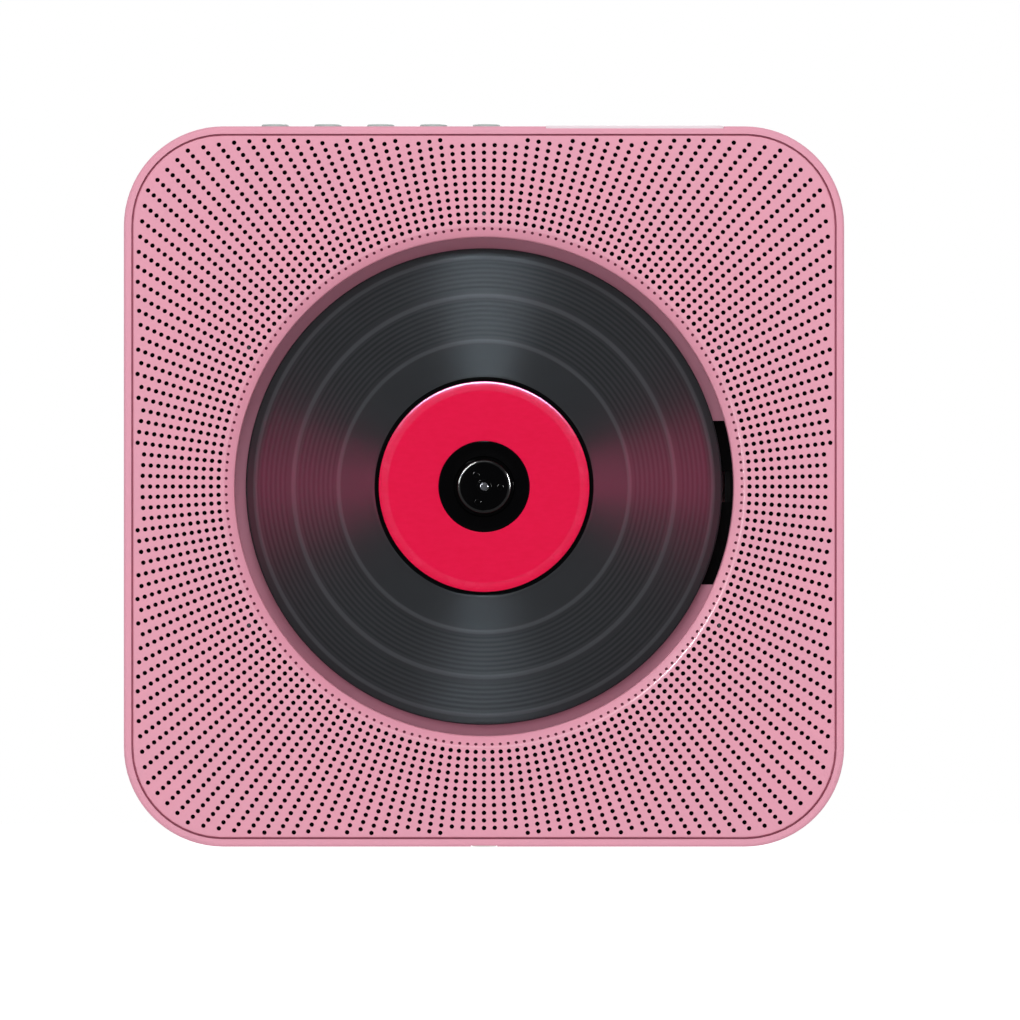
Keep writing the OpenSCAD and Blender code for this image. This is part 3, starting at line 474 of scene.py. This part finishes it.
def repeat(bm, geom, count, step):
    """Copies of some geometry, each turned by one more step round the disc's axis."""
    for k in range(1, count):
        copy = bmesh.ops.duplicate(bm, geom=geom)["geom"]
        bmesh.ops.rotate(bm, verts=[v for v in copy if isinstance(v, bmesh.types.BMVert)],
                         cent=(0, 0, 0), matrix=Matrix.Rotation(-k * step, 3, "Y"))


def inside_panel(x, z):
    half, r = PANEL_HALF - MARGIN, PANEL_R - MARGIN
    over_x, over_z = max(abs(x) - half + r, 0), max(abs(z) - half + r, 0)
    return abs(x) <= half and abs(z) <= half and over_x ** 2 + over_z ** 2 <= r * r


def edge_at(angle, half, r):
    """Point of a rounded square's outline in a direction from its middle."""
    lo, hi = 0.0, 2 * half
    c = half - r
    for _ in range(60):
        mid = (lo + hi) / 2
        x, z = abs(mid * math.cos(angle)), abs(mid * math.sin(angle))
        ox, oz = max(x - c, 0), max(z - c, 0)
        if x <= half and z <= half and ox * ox + oz * oz <= r * r:
            lo = mid
        else:
            hi = mid
    return (lo * math.cos(angle), lo * math.sin(angle))


def perforated_panel():
    """The front panel with all its perforations, from one quarter that is turned round."""
    steps = 60
    angles = [math.radians(-0.9) + math.pi / 2 * k / steps for k in range(steps + 1)]

    def outline(inset):
        return [edge_at(t, PANEL_HALF - inset, PANEL_R - inset) for t in angles]

    inner = [(PANEL_HOLE * math.cos(t), PANEL_HOLE * math.sin(t)) for t in reversed(angles)]
    holes = []
    for spoke in range(SPOKES // 4):
        t = 2 * math.pi * spoke / SPOKES
        for ring in RINGS:
            r = ring * RING_PITCH + RING_SHIFT
            x, z = r * math.cos(t), r * math.sin(t)
            if inside_panel(x, z):
                holes.append(circle(x, z, HOLE_R, 12, t))
    bm = bmesh.new()
    points, faces = triangles([outline(PANEL_EDGE) + inner] + holes)
    flat(bm, points, faces, FRONT)
    flat(bm, points, faces, PANEL_BACK, flip=True)
    for loop in holes:
        wall(bm, row_of(bm, loop, FRONT), row_of(bm, loop, PANEL_BACK))
    # the rounded outer edge, a step below it that closes the groove, and the way to the back
    turns = [math.pi / 2, math.pi / 3, math.pi / 6, 0]
    section = [(PANEL_EDGE * (1 - math.cos(t)), FRONT - PANEL_EDGE * (1 - math.sin(t)))
               for t in turns]
    section += [(0, GROOVE_FLOOR), (-GROOVE_STEP, GROOVE_FLOOR), (-GROOVE_STEP, PANEL_BACK),
                (PANEL_EDGE, PANEL_BACK)]
    rows = [row_of(bm, outline(inset), depth) for inset, depth in section]
    wall(bm, row_of(bm, inner, FRONT), row_of(bm, inner, PANEL_BACK), closed=False)
    # faces down in the groove take the darker pink, which is painted shade
    for i, (a, b) in enumerate(zip(rows, rows[1:])):
        for face in wall(bm, a, b, closed=False):
            face.material_index = 1 if i >= len(turns) - 1 else 0
    bmesh.ops.remove_doubles(bm, verts=bm.verts, dist=2e-7)
    repeat(bm, bm.verts[:] + bm.edges[:] + bm.faces[:], 4, math.pi / 2)
    bmesh.ops.remove_doubles(bm, verts=bm.verts, dist=2e-6)
    keep(bm, "front_panel", [PINK, SHADED_GROOVE_PINK], "player", ["front_grille"])


def well_ring():
    """Wall and bevel of the well, with a blind dimple at each row of perforations."""
    bm = bmesh.new()
    step = 2 * math.pi / SPOKES
    lip = [(WELL_R, FLOOR_FRONT), (WELL_R, FRONT - BEVEL_DROP - 0.25),
           (WELL_R + 0.04, FRONT - BEVEL_DROP - 0.07)]
    low, high = (WELL_R + 0.2, FRONT - BEVEL_DROP + 0.1), (65.3, FRONT - 0.2)
    crest = [(65.48, FRONT - 0.13), (65.66, FRONT - 0.07), (65.82, FRONT - 0.03),
             (TRIM_R, FRONT - 0.01)]
    outside = [(TRIM_R, PANEL_BACK - 0.02), (WELL_OUTER, PANEL_BACK - 0.02),
               (WELL_OUTER, FLOOR_FRONT), lip[0]]
    for row in (lip + [low], [high] + crest + outside):
        rings = [row_of(bm, circle(0, 0, r, SPOKES, -step / 2), d) for r, d in row]
        for i, (a, b) in enumerate(zip(rings, rings[1:])):
            for face in wall(bm, a, b):
                face.material_index = 2 if row[0] == high and i < len(crest) else 0
    # one pitch of the bevel, drawn flat as (along the slope, across) with its dimple
    slope = math.hypot(high[0] - low[0], high[1] - low[1])

    def lift(u, v, sink=0.0):
        r = low[0] + (high[0] - low[0]) * u / slope
        d = low[1] + (high[1] - low[1]) * u / slope - sink
        return bm.verts.new((r * math.cos(v / r) * MM, -d * MM, r * math.sin(v / r) * MM))

    edge = [(0, -low[0] * step / 2), (slope, -high[0] * step / 2),
            (slope, high[0] * step / 2), (0, low[0] * step / 2)]
    centre = (DIMPLE_AT - low[0]) * slope / (high[0] - low[0])
    ring = circle(centre, 0, DIMPLE_R, 12)
    points, faces = triangles([edge, ring])
    vs = [lift(*p) for p in points]
    tile = [bm.faces.new([vs[i] for i in f]) for f in faces]
    brim = [lift(*p) for p in ring]
    base = [lift(*p, 0.45) for p in ring]
    bottom = lift(centre, 0, 0.6)
    dimple = wall(bm, brim, base)
    dimple += [bm.faces.new((a, b, bottom)) for a, b in zip(base, base[1:] + base[:1])]
    # the dimple's walls and floor take the dark rose, which is painted shade
    for face in dimple:
        face.material_index = 1
    tile += dimple
    corners = list({v for f in tile for v in f.verts})
    sides = list({e for f in tile for e in f.edges})
    repeat(bm, corners + sides + tile, SPOKES, step)
    bmesh.ops.remove_doubles(bm, verts=bm.verts, dist=3e-6)
    # ears that are screwed to the back of the baffle
    arc = [math.pi * k / 16 for k in range(1, 16)]
    ear = [(WELL_R + 1.0, -EAR_HALF), (EAR_R, -EAR_HALF)]
    ear += [(EAR_R + EAR_HALF * math.sin(t), -EAR_HALF * math.cos(t)) for t in arc]
    ear += [(EAR_R, EAR_HALF), (WELL_R + 1.0, EAR_HALF)]
    for k in range(6):
        t = math.radians(30 + 60 * k)
        turned = [[(x * math.cos(t) - y * math.sin(t), x * math.sin(t) + y * math.cos(t))
                   for x, y in loop] for loop in (ear, circle(EAR_R, 0, 1.5, 24))]
        part = bmesh.new()
        plate(part, turned, 37.6, 35.8)
        join(bm, part)
    keep(bm, "well_ring", [SHADED_WELL_PINK, PAINTED_DIMPLE_SHADE, CREST_PINK], "player", ["disc_well"], angle=40)


def window_loop():
    """Opening of the well's floor: a circle round the turntable joined to the pickup's window."""
    out = []
    top = math.asin(OPENING_TOP / OPENING_R)
    for k in range(60):
        t = top + (2 * math.pi - 2 * top) * k / 59
        out.append((OPENING_R * math.cos(t), OPENING_R * math.sin(t)))
    out.append((WINDOW_LEFT, WINDOW_BOTTOM))
    reach = WELL_R - 0.02
    low, high = math.asin(WINDOW_BOTTOM / reach), math.asin(WINDOW_TOP / reach)
    for k in range(33):
        t = low + (high - low) * k / 32
        out.append((reach * math.cos(t), reach * math.sin(t)))
    out.append((WINDOW_LEFT, WINDOW_TOP))
    return out


def well_floor():
    """Floor of the well with its window and the posts that carry the mechanism."""
    bm = bmesh.new()
    plate(bm, [circle(0, 0, WELL_OUTER, 200), window_loop()], FLOOR_FRONT, FLOOR_BACK)
    post = [(0, POST_BACK), (1.7, POST_BACK), (1.98, POST_BACK + 0.28), (1.98, FLOOR_BACK - 0.1),
            (2.6, FLOOR_BACK + 0.02), (0, FLOOR_BACK + 0.02)]
    for x, z in POSTS:
        part = bmesh.new()
        revolve(part, post, 32)
        join(bm, part, x, z)
    # the floor plate takes the darker pink, which is painted shade
    keep(bm, "well_floor_plate", [SHADED_FLOOR_PINK], "player", ["well_floor"])


def record_disc():
    """The disc: a vinyl look with lands and grooves round a raised red label."""
    f = DISC_FRONT
    profile = [
        (7.5, DISC_BACK + 0.1), (7.6, DISC_BACK), (59.6, DISC_BACK), (59.9, DISC_BACK + 0.12),
        (60.0, DISC_BACK + 0.4), (60.0, f - 0.55), (59.93, f - 0.35), (59.75, f - 0.2),
        (59.5, f - 0.12), (59.2, f - 0.12), (59.0, f - 0.1), (58.4, f - 0.09),
        (57.95, f - 0.04), (57.6, f - 0.02), (57.3, f - 0.05), (57.0, f - 0.12),
    ]

    def grooved(outer, inner, pitch):
        n = round((outer - inner) / pitch)
        for k in range(n):
            for part, drop in ((0.0, 0.12), (0.25, 0.135), (0.5, 0.145), (0.75, 0.135)):
                profile.append((outer - (k + part) * (outer - inner) / n, f - drop))

    grooved(56.8, 49.6, 1.2)
    profile.extend([(49.4, f - 0.12), (48.7, f - 0.1), (48.3, f - 0.05), (47.9, f - 0.03),
                    (47.6, f - 0.07), (47.3, f - 0.12)])
    grooved(47.1, 38.1, 1.15)
    profile.extend([(37.9, f - 0.12), (37.2, f - 0.1), (36.9, f - 0.05), (36.6, f - 0.04),
                    (36.3, f - 0.09), (36.0, f - 0.12), (33.0, f - 0.13), (30.0, f - 0.13),
                    (28.6, f - 0.12), (28.35, f - 0.09), (28.1, f - 0.07), (27.85, f - 0.1),
                    (27.6, f - 0.16)])
    black_ring = len(profile) - 1
    profile.extend([(27.4, f - 0.26), (26.8, f - 0.3), (11.6, f - 0.3), (11.42, f - 0.16),
                    (11.2, f - 0.14), (7.75, f - 0.14), (7.58, f - 0.17), (7.5, f - 0.26)])
    slots = [1 if i >= black_ring else 0 for i in range(len(profile))]
    bm = bmesh.new()
    revolve(bm, profile, 240, slots=slots)
    keep(bm, "record_disc", [RECORD, DARK], "disc", ["compact_disc"], angle=50)


def record_label():
    """The label: its flat face, and the rounded rim over which it is pressed down."""
    f = DISC_FRONT
    parts = {
        "record_label": (LABEL, [(LABEL_SEAM, f - 0.3), (LABEL_SEAM, f), (12.0, f),
                                 (11.72, f - 0.01), (11.56, f - 0.05), (11.5, f - 0.12),
                                 (11.5, f - 0.3)]),
        "label_rim": (LABEL_RIM, [(26.5, f - 0.3), (26.46, f - 0.27), (26.3, f - 0.2),
                                  (26.05, f - 0.13), (25.7, f - 0.07), (25.3, f - 0.03),
                                  (24.8, f - 0.008), (LABEL_SEAM, f), (LABEL_SEAM, f - 0.3)]),
    }
    for name, (material, outline) in parts.items():
        bm = bmesh.new()
        revolve(bm, outline, 240)
        piece = keep(bm, name, [material], "disc", angle=50)


def hub_details():
    """Three small bosses round the spindle's collar on the hub's face."""
    bm = bmesh.new()
    f = HUB_FRONT
    dome = [(0.95, f - 0.2)]
    dome += [(0.6 + 0.35 * math.cos(t), f + 0.05 + 0.3 * math.sin(t))
             for t in (math.pi / 2 * k / 6 for k in range(7))]
    dome += [(0.3, f + 0.33), (0.22, f + 0.2), (0, f + 0.2), (0, f - 0.2)]
    for x, z in ((-2.1, 2.9), (4.0, -0.2), (-1.6, -4.0)):
        part = bmesh.new()
        revolve(part, dome, 32)
        join(bm, part, x, z)
    revolve(bm, rounded([(1.05, f - 0.2), (1.9, f - 0.2), (1.9, f + 0.25, 0.2),
                         (1.05, f + 0.25, 0.1)]), 64)
    keep(bm, "hub_bosses", [DARK], "turntable")


def button_cap(node):
    """A flat-topped button with a rounded shoulder, its flange and the stem on its switch."""
    low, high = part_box(node)
    x, y = ((low[i] + high[i]) / 2 for i in (0, 1))
    top, bottom = high[2] / MM, low[2] / MM
    outline = rounded([(0, top - 0.12), (2.4, top - 0.1), (3.0, top, 0.4), (BUTTON_R, top, 0.42),
                       (BUTTON_R, FLANGE_TOP, 0), (FLANGE_R, FLANGE_TOP, 0.15),
                       (FLANGE_R, FLANGE_BOTTOM, 0.15), (STEM_R, FLANGE_BOTTOM, 0.3),
                       (STEM_R, bottom, 0.3), (0, bottom)])
    bm = bmesh.new()
    revolve(bm, outline, 64)
    bmesh.ops.rotate(bm, verts=bm.verts, cent=(0, 0, 0),
                     matrix=Matrix.Rotation(-math.pi / 2, 3, "X"))
    bmesh.ops.translate(bm, verts=bm.verts, vec=(x, y, 0))
    keep(bm, node + "_cap", [PALE], body_of[node], [node])


def cross_screws():
    """The case's screws, each with a pan head and a cross recess for the driver."""
    low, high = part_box("case_screws")
    back, end = -high[1] / MM, -low[1] / MM
    outline = [(2.3, back), (2.5, back + 0.07), (2.67, back + 0.23), (2.77, back + 0.45),
               (SCREW_R, back + 0.7), (SCREW_R, back + 1.9), (2.7, back + 2), (1.5, back + 2),
               (1.5, end - 0.7), (0.9, end), (0, end)]
    segments = 48

    def cross(half, reach):
        arm = [(reach, -half), (reach, half), (half, half)]
        return [(x * c - y * s, x * s + y * c) for c, s in ((1, 0), (0, 1), (-1, 0), (0, -1))
                for x, y in arm]

    mouth, base = cross(0.42, 1.6), cross(0.26, 0.9)
    points, faces = triangles([circle(0, 0, outline[0][0], segments), mouth])
    bm = bmesh.new()
    for x in (low[0] / MM + SCREW_R, high[0] / MM - SCREW_R):
        for z in (low[2] / MM + SCREW_R, high[2] / MM - SCREW_R):
            part = bmesh.new()
            revolve(part, outline, segments)
            # the last band would close the outline from the tip to the head, which is open here
            bmesh.ops.delete(part, geom=part.faces[-segments:], context="FACES")
            flat(part, points, faces, back)
            deep = row_of(part, base, back + 1.2)
            wall(part, row_of(part, mouth, back), deep)
            foot = part.verts.new((0, -(back + 1.4) * MM, 0))
            for a, b in zip(deep, deep[1:] + deep[:1]):
                part.faces.new((a, b, foot))
            bmesh.ops.remove_doubles(part, verts=part.verts, dist=2e-7)
            join(bm, part, x, z)
    keep(bm, "case_screw_set", [BRIGHT], "player", ["case_screws"], angle=40)


def apply_modifiers(piece):
    bpy.context.view_layer.update()
    graph = bpy.context.evaluated_depsgraph_get()
    mesh = bpy.data.meshes.new_from_object(piece.evaluated_get(graph))
    piece.modifiers.clear()
    piece.data = mesh


def refined(node):
    """A copy of a CAD node's shape with softened edges, which then stands for it."""
    bm = bmesh.new()
    bm.from_mesh(nodes[node].data)
    bmesh.ops.remove_doubles(bm, verts=bm.verts, dist=1e-6)
    bmesh.ops.dissolve_limit(bm, angle_limit=math.radians(0.6), verts=bm.verts, edges=bm.edges)
    material = NODE_MATERIAL.get(node) or SLOT_MATERIAL[slot_of[node]]
    piece = keep(bm, node + "_piece", [material], body_of[node], [node])
    soft = piece.modifiers.new("soft", "BEVEL")
    soft.width = SOFT_EDGE * MM
    soft.segments = 2
    soft.limit_method = "ANGLE"
    soft.angle_limit = math.radians(35)
    soft.use_clamp_overlap = True
    apply_modifiers(piece)
    # edges that the bevel couldn't reach stay sharp, and flat faces shade flat
    piece.data.set_sharp_from_angle(angle=math.radians(50))
    even = piece.modifiers.new("even", "WEIGHTED_NORMAL")
    even.weight = 95
    even.keep_sharp = True
    apply_modifiers(piece)


def polish_hub(piece):
    """Gives the rounded edge of the hub a glossier finish than its face."""
    piece.data.materials.append(HUB_EDGE)
    for face in piece.data.polygons:
        x, y, z = face.center
        if 5.9 < math.hypot(x, z) / MM < 6.9 and -y / MM > 35.3:
            face.material_index = 1


perforated_panel()
well_ring()
well_floor()
record_disc()
record_label()
hub_details()
cross_screws()
made = {"front_grille", "disc_well", "well_floor", "compact_disc", "case_screws"}
for number in range(1, 6):
    button_cap("button_%d" % number)
    made.add("button_%d" % number)
for name in nodes:
    if name not in made:
        refined(name)
polish_hub(bpy.data.objects["turntable_piece"])


# ---------- stage ----------

FLOOR_Z = -0.165
FLOOR_GLOW = 0.64
AMBIENT = 0.4


def stage_floor():
    """A plain pale floor that the camera and reflections see as near white."""
    bm = bmesh.new()
    bmesh.ops.create_grid(bm, x_segments=8, y_segments=8, size=3.0)
    mesh = bpy.data.meshes.new("floor")
    bm.to_mesh(mesh)
    bm.free()
    obj = bpy.data.objects.new("floor", mesh)
    obj.location = (0, 0, FLOOR_Z)
    scene.collection.objects.link(obj)
    s = Shader("floor_white", Specular_IOR_Level=0.0, Roughness=0.9)
    s.colour((0.9, 0.9, 0.9, 1))
    s.bsdf.inputs["Emission Color"].default_value = (1, 1, 1, 1)
    rays = s.node("ShaderNodeLightPath")
    seen = s.math("MAXIMUM", rays.outputs["Is Camera Ray"], rays.outputs["Is Glossy Ray"])
    seen = s.math("MAXIMUM", seen, rays.outputs["Is Transmission Ray"])
    s.put(s.bsdf.inputs["Emission Strength"], s.math("MULTIPLY", seen, FLOOR_GLOW))
    # the floor can't be seen from below, where it would hide the player
    below = s.node("ShaderNodeNewGeometry").outputs["Backfacing"]
    either = s.node("ShaderNodeMixShader")
    s.put(either.inputs[0], below)
    s.put(either.inputs[1], s.bsdf.outputs[0])
    s.put(either.inputs[2], s.node("ShaderNodeBsdfTransparent").outputs[0])
    s.put(s.tree.nodes["Material Output"].inputs["Surface"], either.outputs[0])
    mesh.materials.append(s.m)


def studio_world():
    """A soft even light, which the camera and reflections see as plain white."""
    world = bpy.data.worlds.new("studio")
    scene.world = world
    world.use_nodes = True
    tree = world.node_tree
    tree.nodes.clear()
    link = tree.links.new
    path = tree.nodes.new("ShaderNodeLightPath")
    seen = path.outputs["Is Camera Ray"]
    for ray in ("Is Glossy Ray", "Is Transmission Ray"):
        either = tree.nodes.new("ShaderNodeMath")
        either.operation = "MAXIMUM"
        link(seen, either.inputs[0])
        link(path.outputs[ray], either.inputs[1])
        seen = either.outputs[0]
    blend = tree.nodes.new("ShaderNodeMixShader")
    link(seen, blend.inputs[0])
    for socket, strength in ((1, AMBIENT), (2, 1.0)):
        background = tree.nodes.new("ShaderNodeBackground")
        background.inputs["Color"].default_value = (1, 1, 1, 1)
        background.inputs["Strength"].default_value = strength
        link(background.outputs[0], blend.inputs[socket])
    link(blend.outputs[0], tree.nodes.new("ShaderNodeOutputWorld").inputs["Surface"])


def lamp(name, place, size, power, colour=(1, 1, 1), glossy=True):
    """An area lamp that faces the player. Its size is (round the disc's axis, towards it)."""
    light = bpy.data.lights.new(name, "AREA")
    light.shape = "RECTANGLE"
    light.size, light.size_y = size
    light.energy = power
    light.color = colour
    obj = bpy.data.objects.new(name, light)
    back = (Vector(place) - Vector((0, -0.035, 0))).normalized()
    across = Vector((0, 1, 0)).cross(back).normalized()
    turn = Matrix((across, back.cross(across), back)).transposed()
    obj.matrix_world = Matrix.Translation(place) @ turn.to_4x4()
    obj.visible_glossy = glossy
    scene.collection.objects.link(obj)
    return obj


def glint(reaches, name, place, size, power, colour=(1, 1, 1)):
    """A lamp that only shows as a reflection, and only in some pieces."""
    obj = lamp(name, place, size, power, colour)
    obj.visible_diffuse = False
    group = bpy.data.collections.new(name + "_reaches")
    for piece in reaches:
        group.objects.link(bpy.data.objects[piece])
    obj.light_linking.receiver_collection = group


stage_floor()
studio_world()
lamp("top_softbox", (0.0, -1.35, 1.55), (1.0, 0.5), 14.5)
lamp("front_fill", (-0.3, -2.2, 0.4), (1.4, 1.4), 12.2, glossy=False)
lamp("back_fill", (0.5, 2.2, 1.0), (1.6, 1.6), 22)
DISC = ["record_disc"]
HUB = ["turntable_piece", "hub_bosses", "spindle_shaft_piece"]
HUB += ["chuck_claw_%d_piece" % n for n in (1, 2, 3)]
CREST = ["well_ring"]
ROSE = (1.0, 0.08, 0.26)
glint(DISC, "top_sheen", (0.0, -1.7, 1.3), (0.2, 0.3), 44, (0.72, 0.88, 1.0))
glint(DISC, "rose_right", (1.5, -1.5, 0.0), (1.0, 0.4), 140, ROSE)
glint(DISC, "rose_left", (-1.5, -1.5, 0.0), (1.0, 0.4), 100, ROSE)
glint(["label_rim"], "label_sheen", (0.0, -1.7, 1.3), (2.2, 0.3), 2100, (0.45, 0.6, 1.0))
glint(HUB, "hub_left", (-1.2, -1.5, 1.0), (1.9, 0.1), 900)
glint(HUB, "hub_right", (1.95, -0.6, 0.5), (0.9, 0.3), 750)
glint(CREST, "crest_left", (-1.2, -1.5, 1.0), (0.2, 0.1), 100)
glint(CREST, "crest_right", (1.5, -1.4, -0.6), (0.3, 0.1), 160)
glint(CREST, "crest_side", (-1.5, -1.4, -0.15), (0.4, 0.1), 50)

camera = bpy.data.cameras.new("camera")
camera.sensor_width = 36
camera.lens = 421.5
camera.clip_start = 0.1
camera.clip_end = 20
eye = bpy.data.objects.new("camera", camera)
eye.location = (0.00653, -3.041, -0.0059)
eye.rotation_euler = (math.pi / 2, 0, 0)
scene.collection.objects.link(eye)
scene.camera = eye
scene.view_settings.view_transform = "Standard"
